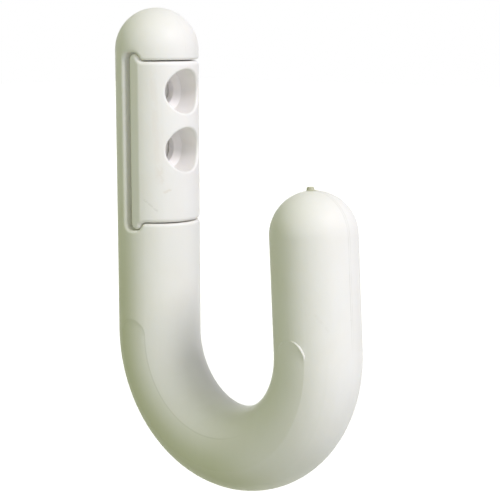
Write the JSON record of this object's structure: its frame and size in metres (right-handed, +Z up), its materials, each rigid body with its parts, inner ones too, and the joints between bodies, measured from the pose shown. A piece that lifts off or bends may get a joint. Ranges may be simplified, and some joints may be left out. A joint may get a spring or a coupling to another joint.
{
  "type": "coat hook",
  "caption": "J-shaped coat hook of thick round moulded rod with a domed top, a round tip and a screwed block let into the back leg.",
  "frame": {"origin": "on the flat wall face of the back leg, midway between the two screw holes", "axes": "+Z up, +Y into the wall, -Y to the front of the hook, X across the rod"},
  "size_m": [0.02, 0.0694, 0.1133],
  "materials": {
    "hook_body": "satin off-white moulded plastic",
    "fixing_block": "satin off-white moulded plastic"
  },
  "bodies": {
    "root": {"hook_body": "hook_body", "fixing_block": "fixing_block"}
  },
  "joints": []
}
